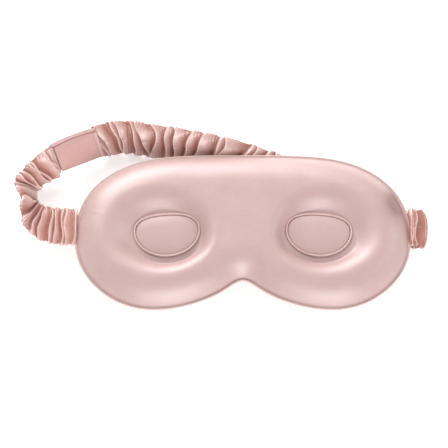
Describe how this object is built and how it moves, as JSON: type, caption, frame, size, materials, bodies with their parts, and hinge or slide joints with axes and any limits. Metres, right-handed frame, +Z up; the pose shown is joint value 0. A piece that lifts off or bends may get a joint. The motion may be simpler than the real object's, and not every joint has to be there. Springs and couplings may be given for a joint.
{
  "type": "sleep eye mask",
  "caption": "Contoured satin sleep eye mask with raised eye bowls, piped edge, gathered elastic strap and hook and loop closure.",
  "frame": {"origin": "centre of the flat place on the outer cover that the mask rests on, on its middle line", "axes": "+X along the mask, +Y towards the forehead edge, +Z up, out of the face side"},
  "size_m": [0.274, 0.1314, 0.0268],
  "materials": {
    "satin": "smooth silk satin, soft sheen",
    "strap_satin": "gathered silk satin, soft sheen",
    "piping": "satin covered cord",
    "foam": "soft open cell foam",
    "lining": "matte black woven lining",
    "elastic": "woven elastic",
    "thread": "polyester sewing thread",
    "panel_cloth": "matte brushed cloth",
    "hook_tape": "nylon hook tape",
    "loop_tape": "brushed nylon loop tape"
  },
  "bodies": {
    "mask": {"face_cover": "satin", "foam_core": "foam", "blackout_lining": "lining", "outer_cover": "satin", "edge_piping": "piping", "left_eye_panel": "satin", "right_eye_panel": "satin", "left_eye_piping": "piping", "right_eye_piping": "piping", "left_strap_tongue": "elastic", "right_strap_tongue": "elastic"},
    "left_strap": {"left_root_gather": "strap_satin", "left_sleeve": "strap_satin", "left_end_sleeve": "strap_satin", "left_elastic": "elastic", "left_centre_thread": "thread"},
    "closure_end": {"tab_sewn_strip": "panel_cloth"},
    "closure_flap": {"closure_tab": "panel_cloth", "tab_hook_tape": "hook_tape", "tab_end_hem": "panel_cloth"},
    "right_strap": {"right_root_gather": "strap_satin", "right_sleeve": "strap_satin", "right_end_sleeve": "strap_satin", "right_elastic": "elastic", "right_centre_thread": "thread"},
    "landing": {"landing_panel": "panel_cloth", "landing_loop_tape": "loop_tape", "landing_sewn_strip": "panel_cloth"}
  },
  "joints": [
    {"name": "right_strap_swing", "type": "hinge", "parent": "mask", "child": "right_strap", "pos_m": [0.114, 0.003, 0.008], "axis": [0, 0, -1], "range_deg": [0, 40], "deforming": ["right_root_gather"]},
    {"name": "left_strap_swing", "type": "hinge", "parent": "mask", "child": "left_strap", "pos_m": [-0.114, 0.003, 0.012], "axis": [0, 0, 1], "range_deg": [0, 40], "deforming": ["left_root_gather"]},
    {"name": "left_elastic_stretch", "type": "slide", "parent": "left_strap", "child": "closure_end", "axis": [0.9239, 0.3827, 0], "range_m": [0, 0.012], "stiffness_N_per_m": 60, "deforming": ["left_end_sleeve", "left_elastic"]},
    {"name": "tab_peel", "type": "hinge", "parent": "closure_end", "child": "closure_flap", "pos_m": [-0.1239, 0.05108, 0.01313], "axis": [0.246, -0.5939, -0.766], "range_deg": [0, 100]},
    {"name": "right_elastic_stretch", "type": "slide", "parent": "right_strap", "child": "landing", "axis": [-0.9239, -0.3827, 0], "range_m": [0, 0.012], "stiffness_N_per_m": 60, "deforming": ["right_end_sleeve", "right_elastic"]}
  ],
  "couplings": [
    {"joint": "left_strap_swing", "follows": "right_strap_swing", "ratio": 1}
  ]
}
